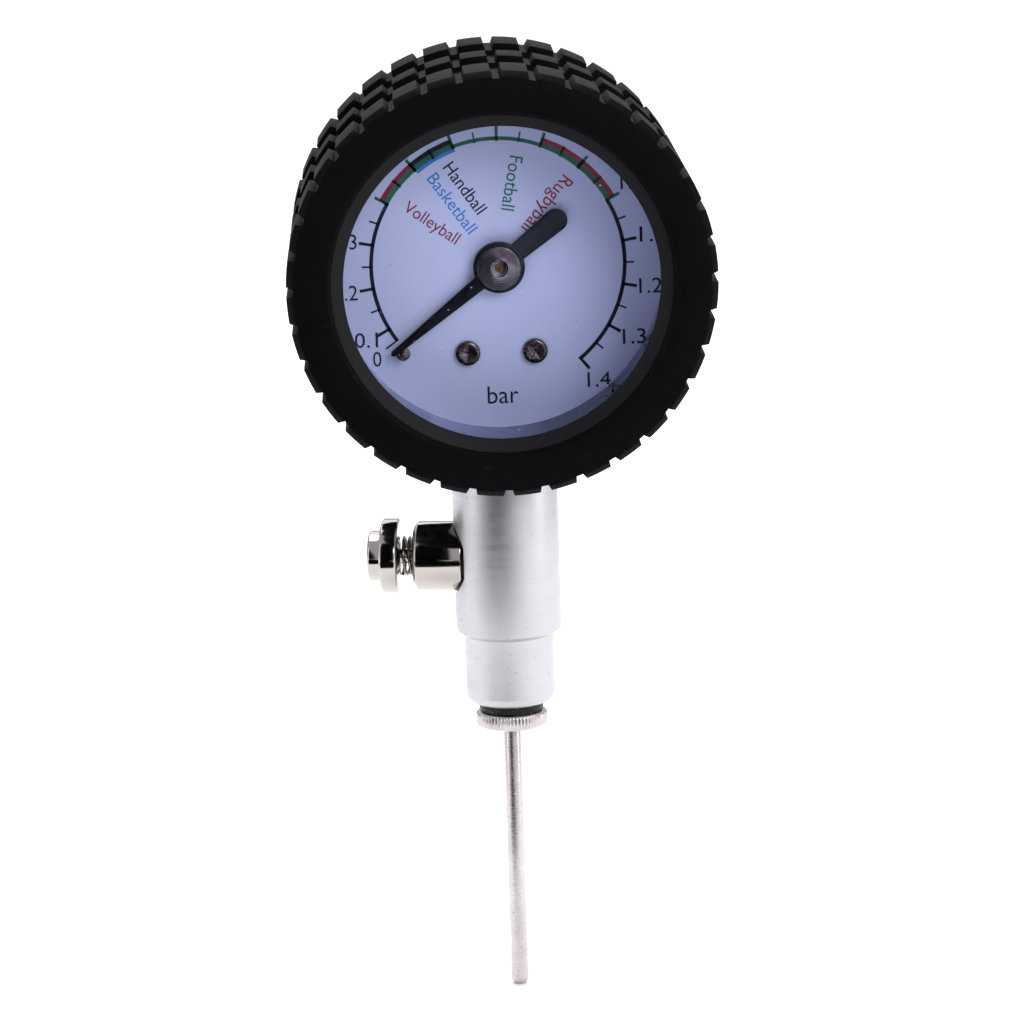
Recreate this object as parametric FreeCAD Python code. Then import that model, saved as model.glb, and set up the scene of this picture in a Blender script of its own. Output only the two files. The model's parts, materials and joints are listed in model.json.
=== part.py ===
import FreeCAD, Part
import math
import os

# Ball pressure gauge: a Bourdon-tube dial in a rubber boot, on a stem with a bleed button and a ball needle.
# Millimetres. +Z runs up the stem, the needle points down -Z and the dial faces -Y, with +X to its right.
# The origin is on the needle's axis at the underside of its knurled collar, where the ball's skin meets it.
# Dial angles are in degrees, clockwise from straight up as the user reads the dial.

# Ball needle
needle_length = 36.0
needle_radius = 1.15
needle_bore_radius = 0.65
needle_shank_radius = 0.95
needle_tip_wall = 1.6
needle_tip_round = 0.8
port_above_tip = 6.0
port_length = 2.0
port_width = 1.1
collar_overhang = 0.35
collar_height = 2.0
collar_chamfer = 0.35
knurl_ribs = 60
knurl_depth = 0.2
thread_radius = 3.85
thread_length = 5.0
thread_pitch = 0.79375
thread_depth = 0.3
washer_wall = 0.47
washer_pinch = 0.25
washer_height = 1.25

# Stem, in one piece from the needle socket up to the case
stem_visible_length = 31.95
stem_step = 1.1
stem_foot_wall = 2.0
stem_foot_length = 9.4
stem_step_chamfer_height = 0.65
stem_step_chamfer_width = 0.9
stem_end_round = 1.4
air_passage_radius = 1.5
thread_run_out = 0.8
socket_bore_depth = 9.0

# Bleed valve, on the stem's left and turned a little towards the back
valve_turn = 9.0
bleed_height_above_stem = 19.75
boss_radius = 4.65
boss_reach = 12.2
boss_chamfer = 0.5
spot_face_radius = 5.15
spot_face_depth = 0.4
housing_shank_radius = 3.4
housing_shank_length = 3.2
housing_gasket_height = 0.5
spring_pocket_radius = 2.8
spring_pocket_depth = 3.5
button_gap = 2.0
button_travel = 1.6
button_flange_radius = 5.0
button_flange_width = 2.35
button_edge = 0.25
nose_radius = 3.4
nose_length = 2.1
nose_dome = 0.35
nose_dome_steps = 3
plunger_radius = 1.0
spring_wire_radius = 0.22
spring_radius = 2.43
spring_turns = 7
spring_wire_sides = 12
seal_radius = 2.2
seal_height = 0.8
valve_nut_radius = 1.6
valve_nut_height = 1.1

# Case, bezel and crystal, turned about the dial's axis
case_radius = 23.8
case_wall = 0.8
case_depth = 34.1
case_back_chamfer = 1.5
dial_set_back = 12.5
bezel_lip_height = 1.0
bezel_cone_depth = 0.9
bezel_cone_radius = 22.1
window_radius = 20.5
bezel_lip_wall = 0.5
bezel_skirt_wall = 0.9
bezel_skirt_depth = 7.0
crystal_thickness = 1.5
crystal_skirt_wall = 0.5
crystal_gasket_height = 0.4
crystal_gasket_width = 1.2

# Rubber boot
boot_wall = 4.1
boot_front_lip = 0.8
boot_back_lip = 0.8
boot_back_opening = 20.5
boot_lip_chamfer = 0.5
tread_chamfer = 0.8
tread_taper = 1.05
tread_groove_depth = 1.6
tread_blocks = 36
tread_notch_depth = 0.95
tread_notch_mouth = 1.45
tread_notch_floor = 0.9
front_row_width = 8.9
middle_row_width = 5.7
back_row_width = 8.1
tread_row_gap = 6.9

# Dial
dial_front = -5.0
dial_thickness = 0.5
dial_hole_radius = 1.5
dial_screw_spread = 4.4
dial_screw_drop = 11.5
dial_screw_head_radius = 1.65
dial_screw_head_height = 0.8
dial_screw_radius = 0.8
dial_screw_grip = 2.6
recess_width = 0.45
recess_length = 2.0
recess_depth = 0.45
recess_turns = (10.0, 50.0)
stop_pin_radius = 0.5
stop_pin_orbit = 17.1
stop_pin_height = 1.9
stop_eyelet_radius = 0.95
stop_eyelet_height = 0.15

# Pointer
pointer_rest_angle = -128.0
pointer_full_angle = 140.0
pointer_length = 18.35
pointer_root_width = 2.2
pointer_tip_width = 0.75
pointer_tail_length = 9.65
pointer_tail_radius = 1.52
pointer_thickness = 0.5
pointer_lift = 1.0
pointer_boss_radius = 3.38
pointer_boss_height = 0.8
hub_radius = 2.94
hub_height = 0.4
hub_ring_radius = 1.35
hub_ring_inner_radius = 1.05
hub_ring_height = 0.18
hub_bush_radius = 1.2
arbor_front_radius = 0.55

# Movement
plate_thickness = 0.8
plate_gap = 5.0
plate_half_width = 6.6
plate_top = 5.6
plate_corner = 2.0
gear_module = 0.2
pinion_teeth = 12
sector_full_teeth = 96
sector_spare_teeth = 2
pressure_angle = 20.0
pinion_addendum = 1.0
sector_addendum = 0.7
tooth_root_depth = 1.25
tooth_backlash = 0.03
flank_steps = 3
pinion_face = 1.6
sector_thickness = 0.8
sector_behind_plate = 2.2
sector_hub_radius = 1.8
arbor_radius = 0.7
pivot_radius = 0.45
sector_arbor_radius = 0.8
tail_length = 6.0
tail_mid_angle = 150.0
tail_width = 1.8
link_length = 8.0
link_thickness = 0.6
link_width = 1.4
link_eye_radius = 1.1
link_tip_eye_radius = 1.4
link_pin_radius = 0.45
link_pin_head_radius = 0.7
tip_pin_head_radius = 1.1
link_pin_head_height = 0.3
open_pivot_clearance = 0.32
pillar_radius = 1.25
pillar_tenon_radius = 0.6
top_pillar_spread = 5.0
top_pillar_rise = 3.0
hairspring_inner_radius = 1.2
hairspring_pitch = 0.52
hairspring_turns = 5
hairspring_points_per_turn = 24
hairspring_strip = 0.12
hairspring_height = 0.4
hairspring_behind_plate = 0.5
collet_height = 0.8
stud_radius = 0.4

# Bourdon tube and its socket
tube_radius = 17.5
tube_start_angle = 202.0
tube_end_angle = 115.0
tube_section_width = 4.6
tube_section_depth = 2.0
tube_wall = 0.25
tip_plug_length = 1.6
tip_tongue_width = 2.2
socket_left = 8.2
socket_right = 7.0
socket_above_case = 1.8
socket_shoulder_radius = 5.6
socket_shank_radius = 4.9
socket_channel_radius = 0.7
socket_bore_radius = 1.2
socket_seat_before_tube = 2.6
socket_seat_past_tube = 1.5
socket_gasket_height = 1.0
movement_screw_head_radius = 1.5
movement_screw_head_height = 0.8
movement_screw_radius = 0.8
movement_screw_slot = 0.4
movement_screw_grip = 2.4

# Fits and gaps
running_clearance = 0.04
thread_clearance = 0.05
washer_clearance = 0.08
bore_clearance = 0.02
end_play = 0.1
loose_gap = 0.6
seat_gap = 0.05
cut_over = 1.0

# Places that follow from the sizes above
washer_top = collar_height + washer_height
washer_radius = thread_radius + washer_clearance + washer_wall
collar_radius = washer_radius + collar_overhang
stem_foot_radius = thread_radius + thread_clearance + stem_foot_wall
stem_radius = stem_foot_radius + stem_step
stem_bottom = washer_top
bleed_z = stem_bottom + bleed_height_above_stem
boot_radius = case_radius + boot_wall
dial_z = stem_bottom + stem_visible_length + boot_radius
case_bore = case_radius - case_wall
case_front = dial_front - dial_set_back
case_back = case_front + case_depth
bezel_front = case_front - bezel_lip_height
boot_front = bezel_front - boot_front_lip
boot_back = case_back + boot_back_lip
front_row_back = boot_front + front_row_width
middle_row_front = front_row_back + tread_row_gap
middle_row_back = middle_row_front + middle_row_width
back_row_front = boot_back - back_row_width
window_front = bezel_front + bezel_cone_depth
crystal_front = window_front + bezel_lip_wall + crystal_gasket_height
crystal_radius = case_bore - bezel_skirt_wall - bore_clearance
dial_back = dial_front + dial_thickness
dial_radius = crystal_radius
front_plate_back = dial_back + plate_thickness
back_plate_front = front_plate_back + plate_gap
back_plate_back = back_plate_front + plate_thickness
sector_front = front_plate_back + sector_behind_plate
sector_back = sector_front + sector_thickness
link_front = sector_back + end_play
link_back = link_front + link_thickness
gear_ratio = sector_full_teeth / pinion_teeth
pointer_travel = pointer_full_angle - pointer_rest_angle
sector_travel = pointer_travel / gear_ratio
gear_centres = gear_module * (sector_full_teeth + pinion_teeth) / 2.0
pointer_back = dial_front - pointer_lift
boss_front = pointer_back - pointer_boss_height
hub_front = boss_front - hub_height
stem_flat = math.sqrt(stem_radius ** 2 - spot_face_radius ** 2)
pocket_floor = -(stem_flat + spot_face_depth)
housing_end = pocket_floor + housing_shank_length
plunger_end = housing_end + seal_height + valve_nut_height
chamber_end = plunger_end + button_travel + loose_gap
button_face = -(boss_reach + button_gap)
socket_floor = -(case_bore - socket_above_case)
socket_top = -(gear_centres + tail_length + link_eye_radius + loose_gap)
stem_bore_bottom = dial_z - case_radius - socket_bore_depth
plate_bottom = socket_floor + loose_gap
movement_screw_z = socket_floor + movement_screw_head_radius + seat_gap

X = FreeCAD.Vector(1, 0, 0)
Y = FreeCAD.Vector(0, 1, 0)
Z = FreeCAD.Vector(0, 0, 1)
DIAL = FreeCAD.Vector(0, 0, dial_z)
STEM = FreeCAD.Vector(0, 0, 0)
BLEED = FreeCAD.Vector(0, 0, bleed_z)
INWARD = FreeCAD.Vector(math.cos(math.radians(valve_turn)),
                        -math.sin(math.radians(valve_turn)), 0)


def solid_of(wire, sweep):
    """Extrude a closed wire along a vector."""
    return Part.Face(wire).extrude(sweep)


def turned(outline, centre, axis, radial):
    """Revolve an outline of (radius, distance along the axis) points about the axis."""
    points = [centre + radial * radius + axis * along for radius, along in outline]
    wire = Part.makePolygon(points + points[:1])
    return Part.Face(wire).revolve(centre, axis, 360)


def about_stem(outline):
    return turned(outline, STEM, Z, X)


def about_dial(outline):
    return turned(outline, DIAL, Y, X)


def about_bleed(outline):
    """Revolve about the bleed valve's axis, which runs inwards from the button."""
    return turned(outline, BLEED, INWARD, Z)


def ring(inner, outer, start, end):
    return [(inner, start), (outer, start), (outer, end), (inner, end)]


def on_dial(angle, radius, depth=0.0):
    """A point at a clock angle and radius from the dial's centre."""
    turn = math.radians(angle)
    return FreeCAD.Vector(radius * math.sin(turn), depth, dial_z + radius * math.cos(turn))


def flat_point(x, z, depth):
    """A point given across and up from the dial's centre."""
    return FreeCAD.Vector(x, depth, dial_z + z)


def post(x, z, radius, front, back):
    """A round bar along Y, placed from the dial's centre."""
    return Part.makeCylinder(radius, back - front, flat_point(x, z, front), Y)


def slab(x_low, x_high, z_low, z_high, front, back):
    """A box placed from the dial's centre."""
    corner = flat_point(x_low, z_low, front)
    return Part.makeBox(x_high - x_low, back - front, z_high - z_low, corner)


def bar(start, end, width, front, back):
    """A flat bar with round ends between two (x, z) points."""
    length = math.hypot(end[0] - start[0], end[1] - start[1])
    along = FreeCAD.Vector(end[0] - start[0], 0, end[1] - start[1]) * (1.0 / length)
    side = FreeCAD.Vector(-along.z, 0, along.x) * (width / 2.0)
    first = flat_point(start[0], start[1], front)
    last = flat_point(end[0], end[1], front)
    wire = Part.makePolygon([first + side, last + side, last - side, first - side, first + side])
    body = solid_of(wire, Y * (back - front))
    body = body.fuse(post(start[0], start[1], width / 2.0, front, back))
    return body.fuse(post(end[0], end[1], width / 2.0, front, back)).removeSplitter()


def hole_through(shape, x, z, radius, front, back):
    return shape.cut(post(x, z, radius, front - cut_over, back + cut_over))


# Ball needle


def needle_tube():
    """Blunt tube, necked where it is brazed into the head."""
    tip = -needle_length
    edge = needle_radius - needle_tip_round
    top = washer_top + thread_length
    arc = Part.Arc(FreeCAD.Vector(edge, 0, tip),
                   FreeCAD.Vector(edge + needle_tip_round * math.sin(math.pi / 4), 0,
                                  tip + needle_tip_round * (1 - math.cos(math.pi / 4))),
                   FreeCAD.Vector(needle_radius, 0, tip + needle_tip_round))
    corners = [FreeCAD.Vector(needle_radius, 0, tip + needle_tip_round), FreeCAD.Vector(needle_radius, 0, 0),
               FreeCAD.Vector(needle_shank_radius, 0, 0), FreeCAD.Vector(needle_shank_radius, 0, top),
               FreeCAD.Vector(needle_bore_radius, 0, top),
               FreeCAD.Vector(needle_bore_radius, 0, tip + needle_tip_wall),
               FreeCAD.Vector(0, 0, tip + needle_tip_wall), FreeCAD.Vector(0, 0, tip),
               FreeCAD.Vector(edge, 0, tip)]
    lines = Part.makePolygon(corners).Edges
    tube = Part.Face(Part.Wire([arc.toShape()] + lines)).revolve(STEM, Z, 360)
    return tube.cut(needle_port())


def needle_port():
    """The slot in the needle's left side, with round ends."""
    half = (port_length - port_width) / 2.0
    middle = port_above_tip - needle_length
    low = FreeCAD.Vector(-2 * needle_radius, 0, middle - half)
    high = FreeCAD.Vector(-2 * needle_radius, 0, middle + half)
    reach = 2 * needle_radius
    corner = FreeCAD.Vector(-2 * needle_radius, -port_width / 2.0, middle - half)
    slot = Part.makeBox(reach, port_width, 2 * half, corner)
    slot = slot.fuse(Part.makeCylinder(port_width / 2.0, reach, low, X))
    return slot.fuse(Part.makeCylinder(port_width / 2.0, reach, high, X))


def needle_head():
    """Knurled collar with the threaded shank that screws into the stem."""
    points = []
    for rib in range(2 * knurl_ribs):
        radius = collar_radius - knurl_depth * (rib % 2)
        turn = math.pi * rib / knurl_ribs
        points.append(FreeCAD.Vector(radius * math.cos(turn), radius * math.sin(turn), 0))
    collar = solid_of(Part.makePolygon(points + points[:1]), Z * collar_height)
    trim = about_stem([(0, 0), (collar_radius - collar_chamfer, 0), (collar_radius, collar_chamfer),
                       (collar_radius, collar_height - collar_chamfer),
                       (collar_radius - collar_chamfer, collar_height), (0, collar_height)])
    head = collar.common(trim).fuse(about_stem(thread_outline())).removeSplitter()
    return head.cut(Part.makeCylinder(needle_shank_radius, washer_top + thread_length + 2 * cut_over,
                                      FreeCAD.Vector(0, 0, -cut_over), Z))


def thread_outline():
    """Shank outline: ridges at the thread's pitch above a plain neck through the washer."""
    ridge = thread_pitch / 2.0
    turns = int((thread_length - thread_depth) / thread_pitch)
    outline = [(0, collar_height), (thread_radius, collar_height), (thread_radius, washer_top)]
    for turn in range(turns):
        foot = washer_top + turn * thread_pitch
        outline.append((thread_radius - thread_depth, foot + ridge))
        outline.append((thread_radius, foot + thread_pitch))
    top = washer_top + thread_length
    outline.append((thread_radius, top - thread_depth))
    outline.append((thread_radius - thread_depth, top))
    outline.append((0, top))
    return outline


def needle_washer():
    """Rubber washer, pinched a little at its foot by the collar."""
    inner = thread_radius + washer_clearance
    return about_stem([(inner, collar_height), (washer_radius - washer_pinch, collar_height),
                       (washer_radius, washer_top), (inner, washer_top)])


# Stem and bleed valve


def valve_body():
    """Stem: threaded foot, air passage, bleed chamber and the bore that takes the socket's shank."""
    foot_top = stem_bottom + stem_foot_length
    top = dial_z
    outline = [(0, stem_bottom), (stem_foot_radius, stem_bottom), (stem_foot_radius, foot_top),
               (stem_radius - stem_step_chamfer_width, foot_top),
               (stem_radius, foot_top + stem_step_chamfer_height), (stem_radius, top), (0, top)]
    stem = about_stem(outline)
    rim = [edge for edge in stem.Edges if edge.Closed and edge.BoundBox.ZMax < stem_bottom + seat_gap]
    stem = stem.makeFillet(stem_end_round, rim)
    stem = stem.cut(Part.makeCylinder(case_radius + seat_gap, 4 * stem_radius,
                                      DIAL - Y * (2 * stem_radius), Y))
    thread_depth_in = thread_length + thread_run_out
    stem = stem.cut(Part.makeCylinder(thread_radius + thread_clearance, thread_depth_in, Z * stem_bottom, Z))
    stem = stem.cut(Part.makeCylinder(air_passage_radius, dial_z - stem_bottom, Z * stem_bottom, Z))
    stem = stem.cut(Part.makeCylinder(socket_shank_radius + bore_clearance, dial_z, Z * stem_bore_bottom, Z))
    pocket = BLEED + INWARD * (pocket_floor - stem_radius)
    stem = stem.cut(Part.makeCylinder(spot_face_radius, stem_radius, pocket, INWARD))
    return stem.cut(Part.makeCylinder(housing_shank_radius + bore_clearance, chamber_end - pocket_floor,
                                      BLEED + INWARD * pocket_floor, INWARD))


def valve_housing():
    shoulder = pocket_floor - housing_gasket_height
    outline = [(plunger_radius + running_clearance, spring_pocket_depth - boss_reach),
               (spring_pocket_radius, spring_pocket_depth - boss_reach), (spring_pocket_radius, -boss_reach),
               (boss_radius - boss_chamfer, -boss_reach), (boss_radius, boss_chamfer - boss_reach),
               (boss_radius, shoulder), (housing_shank_radius, shoulder), (housing_shank_radius, housing_end),
               (plunger_radius + running_clearance, housing_end)]
    return about_bleed(outline)


def housing_gasket():
    return about_bleed(ring(housing_shank_radius, boss_radius - boss_chamfer,
                            pocket_floor - housing_gasket_height, pocket_floor))


def bleed_button():
    """Finger button in one piece with the plunger that runs through the housing."""
    flange = button_face - button_flange_width
    nose = flange - nose_length
    crown = nose_radius - button_edge
    shares = [step / nose_dome_steps for step in range(nose_dome_steps + 1)]
    outline = [(crown * share, nose + nose_dome * share ** 2) for share in shares]
    outline += [(nose_radius, nose + nose_dome + button_edge), (nose_radius, flange),
               (button_flange_radius - button_edge, flange), (button_flange_radius, flange + button_edge),
               (button_flange_radius, button_face - button_edge),
               (button_flange_radius - button_edge, button_face), (plunger_radius, button_face),
               (plunger_radius, plunger_end), (0, plunger_end)]
    return about_bleed(outline)


def bleed_spring():
    """Coil between the button's flange and the floor of the housing's pocket."""
    start = button_face + spring_wire_radius
    length = spring_pocket_depth - boss_reach - spring_wire_radius - start
    helix = Part.makeHelix(length / spring_turns, length, spring_radius)
    turns = [2 * math.pi * side / spring_wire_sides for side in range(spring_wire_sides)]
    points = [X * (spring_radius + spring_wire_radius * math.cos(turn)) + Z * (spring_wire_radius * math.sin(turn))
              for turn in turns]
    coil = Part.Wire(helix.Edges).makePipeShell([Part.makePolygon(points + points[:1])], True, True)
    coil.rotate(STEM, Y, 90)
    coil.rotate(STEM, Z, -valve_turn)
    coil.translate(BLEED + INWARD * start)
    return coil


def valve_seal():
    return about_bleed(ring(plunger_radius, seal_radius, housing_end, housing_end + seal_height))


def valve_nut():
    start = housing_end + seal_height
    return about_bleed(ring(plunger_radius, valve_nut_radius, start, start + valve_nut_height))


# Case, bezel, crystal and boot


def case_cup():
    outline = [(0, case_back), (0, case_back - case_wall), (case_bore - case_back_chamfer, case_back - case_wall),
               (case_bore, case_back - case_wall - case_back_chamfer), (case_bore, case_front),
               (case_radius, case_front), (case_radius, case_back - case_back_chamfer),
               (case_radius - case_back_chamfer, case_back)]
    cup = about_dial(outline)
    hole = socket_shank_radius + bore_clearance
    return cup.cut(Part.makeCylinder(hole, case_radius, DIAL + Z * (socket_floor - case_radius), Z))


def bezel_ring():
    """Ring that drops into the case: a front lip, a cone down to the window and a skirt."""
    skirt_inner = case_bore - bezel_skirt_wall
    lip_back = window_front + bezel_lip_wall
    outline = [(bezel_cone_radius, bezel_front), (case_radius, bezel_front), (case_radius, case_front),
               (case_bore, case_front), (case_bore, case_front + bezel_skirt_depth),
               (skirt_inner, case_front + bezel_skirt_depth), (skirt_inner, lip_back),
               (window_radius, lip_back), (window_radius, window_front)]
    return about_dial(outline)


def crystal_gasket():
    outer = crystal_radius
    start = window_front + bezel_lip_wall
    return about_dial(ring(outer - crystal_gasket_width, outer, start, start + crystal_gasket_height))


def crystal():
    """Clear window with a skirt that presses the dial against the movement."""
    back = crystal_front + crystal_thickness
    skirt = crystal_radius - crystal_skirt_wall
    return about_dial([(0, crystal_front), (crystal_radius, crystal_front), (crystal_radius, dial_front),
                       (skirt, dial_front), (skirt, back), (0, back)])


def row_radius(depth):
    """Radius of the tread's lands, which taper towards the back."""
    return boot_radius - tread_taper * (depth - boot_front) / (boot_back - boot_front)


def boot_outline():
    grooves = []
    for front, back in ((front_row_back, middle_row_front), (middle_row_back, back_row_front)):
        grooves.append((row_radius(front), front))
        grooves.append((row_radius(front) - tread_groove_depth, front))
        grooves.append((row_radius(back) - tread_groove_depth, back))
        grooves.append((row_radius(back), back))
    land_front = boot_front + tread_chamfer
    land_back = boot_back - tread_chamfer
    outline = [(bezel_cone_radius, bezel_front), (bezel_cone_radius, boot_front + boot_lip_chamfer),
               (bezel_cone_radius + boot_lip_chamfer, boot_front), (boot_radius - tread_chamfer, boot_front),
               (row_radius(land_front), land_front)]
    outline += grooves
    outline += [(row_radius(land_back), land_back), (row_radius(land_back) - tread_chamfer, boot_back),
                (boot_back_opening, boot_back), (boot_back_opening, case_back), (case_radius, case_back),
                (case_radius, bezel_front)]
    return outline


def tread_notch(angle):
    """A cutter with sloping sides that crosses the whole tread, parallel to its taper."""
    depth = tread_notch_depth
    floor = tread_notch_floor / 2.0
    mouth = tread_notch_mouth / 2.0
    over = mouth + (mouth - floor) * cut_over / depth
    sections = []
    for end in (boot_front - cut_over, boot_back + cut_over):
        land = row_radius(end)
        places = [(-floor, land - depth), (floor, land - depth), (over, land + cut_over), (-over, land + cut_over)]
        points = [flat_point(x, z, end) for x, z in places]
        sections.append(Part.makePolygon(points + points[:1]))
    cutter = Part.makeLoft(sections, True, True)
    cutter.rotate(DIAL, Y, angle)
    return cutter


def rubber_boot():
    boot = about_dial(boot_outline())
    step = 360.0 / tread_blocks
    boot = boot.cut([tread_notch(block * step) for block in range(tread_blocks)])
    hole = Part.makeCylinder(stem_radius + seat_gap, boot_radius, DIAL + Z * (socket_floor - boot_radius), Z)
    return boot.cut(hole)


# Dial


def screw(x, z, radius, seat, grip, head_radius, head_height, way):
    """Round-headed screw along Y; way is +1 when it drives towards +Y and -1 when towards -Y."""
    head = Part.makeCylinder(head_radius, head_height, flat_point(x, z, seat), Y * -way)
    rim = [edge for edge in head.Edges if abs(edge.CenterOfMass.y - (seat - way * head_height)) < seat_gap
           and edge.Closed]
    head = head.makeFillet(head_height / 2.0, rim)
    return head.fuse(Part.makeCylinder(radius, grip, flat_point(x, z, seat), Y * way))


def dial_screws():
    """Two cross-recessed screws that hold the dial and the front plate to the lower pillars."""
    screws = []
    front = dial_front - dial_screw_head_height
    back = front + recess_depth
    half = recess_width / 2.0
    arm = recess_length / 2.0
    for side, recess_turn in zip((-1, 1), recess_turns):
        x = side * dial_screw_spread
        z = -dial_screw_drop
        body = screw(x, z, dial_screw_radius, dial_front, dial_screw_grip, dial_screw_head_radius,
                     dial_screw_head_height, 1)
        cross = slab(x - arm, x + arm, z - half, z + half, front - cut_over, back)
        cross = cross.fuse(slab(x - half, x + half, z - arm, z + arm, front - cut_over, back))
        cross.rotate(flat_point(x, z, front), Y, recess_turn)
        screws.append(body.cut(cross))
    return Part.makeCompound(screws)


def pointer_half_width(radius):
    share = radius / pointer_length
    return (pointer_root_width * (1 - share) + pointer_tip_width * share) / 2.0


def stop_angle():
    """Angle of the zero-stop pin, just anticlockwise of the resting blade."""
    offset = pointer_half_width(stop_pin_orbit) + stop_pin_radius + seat_gap
    return pointer_rest_angle - math.degrees(offset / stop_pin_orbit)


def dial_plate():
    dial = Part.makeCylinder(dial_radius, dial_thickness, DIAL + Y * dial_front, Y)
    dial = hole_through(dial, 0, 0, dial_hole_radius, dial_front, dial_back)
    for side in (-1, 1):
        x = side * dial_screw_spread
        dial = hole_through(dial, x, -dial_screw_drop, dial_screw_radius, dial_front, dial_back)
    place = on_dial(stop_angle(), stop_pin_orbit) - DIAL
    return hole_through(dial, place.x, place.z, stop_pin_radius, dial_front, dial_back)


def stop_pin():
    place = on_dial(stop_angle(), stop_pin_orbit)
    pin = Part.makeCylinder(stop_pin_radius, stop_pin_height + dial_thickness,
                            place + Y * (dial_front - stop_pin_height), Y)
    eyelet = Part.makeCylinder(stop_eyelet_radius, stop_eyelet_height,
                               place + Y * (dial_front - stop_eyelet_height), Y)
    return pin.fuse(eyelet)


# Pointer


def pointer_blade():
    """Tapered blade with a round-ended tail and a boss, built pointing up and turned to rest."""
    front = pointer_back - pointer_thickness
    root = pointer_root_width / 2.0
    tip = pointer_tip_width / 2.0
    blade = [(-root, 0), (-tip, pointer_length - tip), (0, pointer_length), (tip, pointer_length - tip), (root, 0)]
    tail_sine = (pointer_tail_radius - root) / pointer_tail_length
    rise = pointer_tail_radius * tail_sine
    reach = pointer_tail_radius * math.sqrt(1 - tail_sine ** 2)
    tail = [(reach, -pointer_tail_length + rise), (-reach, -pointer_tail_length + rise)]
    points = [flat_point(x, z, front) for x, z in blade + tail]
    body = solid_of(Part.makePolygon(points + points[:1]), Y * pointer_thickness)
    body = body.fuse(post(0, -pointer_tail_length, pointer_tail_radius, front, pointer_back))
    body = body.fuse(post(0, 0, pointer_boss_radius, boss_front, pointer_back)).removeSplitter()
    body = hole_through(body, 0, 0, hub_bush_radius, boss_front, pointer_back)
    body.rotate(DIAL, Y, pointer_rest_angle)
    return body


def pointer_hub():
    """Bright bush pressed into the boss, with a raised ring round the arbor's end."""
    return about_dial([(arbor_front_radius, boss_front + pointer_boss_height),
                       (hub_bush_radius, boss_front + pointer_boss_height), (hub_bush_radius, boss_front),
                       (hub_radius, boss_front), (hub_radius, hub_front + hub_ring_height),
                       (hub_radius - hub_ring_height, hub_front), (hub_ring_radius, hub_front),
                       (hub_ring_radius, hub_front - hub_ring_height),
                       (hub_ring_inner_radius, hub_front - hub_ring_height),
                       (hub_ring_inner_radius, hub_front), (arbor_front_radius, hub_front)])


def tooth_half_angle(radius, teeth):
    """Half of a tooth's angle at a radius, on an involute above the base circle."""
    pitch = gear_module * teeth / 2.0
    slope = math.radians(pressure_angle)
    base = pitch * math.cos(slope)
    roll = math.acos(min(1.0, base / radius))
    at_pitch = (math.pi * gear_module / 2.0 - tooth_backlash) / (2.0 * pitch)
    return at_pitch + (math.tan(slope) - slope) - (math.tan(roll) - roll)


def tooth_points(teeth, addendum, centre_angle):
    """Outline of one tooth as (angle, radius) pairs, from its trailing root to its leading root."""
    pitch = gear_module * teeth / 2.0
    base = pitch * math.cos(math.radians(pressure_angle))
    root = pitch - tooth_root_depth * gear_module
    tip = pitch + addendum * gear_module
    start = max(base, root)
    radii = [start + (tip - start) * step / flank_steps for step in range(flank_steps + 1)]
    flank = [(tooth_half_angle(radius, teeth), radius) for radius in radii]
    if root < base:
        flank = [(flank[0][0], root)] + flank
    trailing = [(centre_angle - half, radius) for half, radius in flank]
    leading = [(centre_angle + half, radius) for half, radius in reversed(flank)]
    return trailing + leading


def pinion_arbor():
    """Arbor with the pinion cut on it; a tooth space faces the sector at rest."""
    pitch_angle = 2 * math.pi / pinion_teeth
    front = (sector_front + sector_back - pinion_face) / 2.0
    points = []
    for tooth in range(pinion_teeth):
        centre = math.pi + (tooth + 0.5) * pitch_angle
        for angle, radius in tooth_points(pinion_teeth, pinion_addendum, centre):
            points.append(on_dial(math.degrees(angle), radius, front))
    gear = solid_of(Part.makePolygon(points + points[:1]), Y * pinion_face)
    arbor = post(0, 0, arbor_front_radius, hub_front, front_plate_back + end_play)
    arbor = arbor.fuse(post(0, 0, arbor_radius, front_plate_back + end_play, back_plate_front - end_play))
    arbor = arbor.fuse(post(0, 0, pivot_radius, back_plate_front - end_play, back_plate_back))
    return arbor.fuse(gear)


# Movement


def clock_point(angle, radius):
    """(x, z) from the dial's centre for a clock angle about the sector's pivot."""
    turn = math.radians(angle)
    return (radius * math.sin(turn), radius * math.cos(turn) - gear_centres)


def tail_pin_place():
    return clock_point(tail_mid_angle + sector_travel / 2.0, tail_length)


def tip_pin_place():
    """The open pivot's place at rest: the link lies square to the tail at half travel."""
    middle = clock_point(tail_mid_angle, tail_length)
    way = math.radians(tail_mid_angle - 90.0)
    reach = link_length - tail_length * math.sin(math.radians(sector_travel / 2.0))
    return (middle[0] + reach * math.sin(way), middle[1] + reach * math.cos(way))


def sector_gear():
    """Toothed sector with its tail; the teeth run clockwise from the pinion at rest."""
    pitch_angle = 2 * math.pi / sector_full_teeth
    used = int(round(math.radians(sector_travel) / pitch_angle))
    points = [flat_point(0, -gear_centres, sector_front)]
    for tooth in range(-sector_spare_teeth, used + sector_spare_teeth + 1):
        for angle, radius in tooth_points(sector_full_teeth, sector_addendum, tooth * pitch_angle):
            x, z = clock_point(math.degrees(angle), radius)
            points.append(flat_point(x, z, sector_front))
    gear = solid_of(Part.makePolygon(points + points[:1]), Y * sector_thickness)
    gear = gear.fuse(post(0, -gear_centres, sector_hub_radius, sector_front, sector_back))
    gear = gear.fuse(bar((0, -gear_centres), tail_pin_place(), tail_width, sector_front, sector_back))
    gear = hole_through(gear, 0, -gear_centres, sector_arbor_radius, sector_front, sector_back)
    x, z = tail_pin_place()
    return hole_through(gear, x, z, link_pin_radius, sector_front, sector_back)


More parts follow.
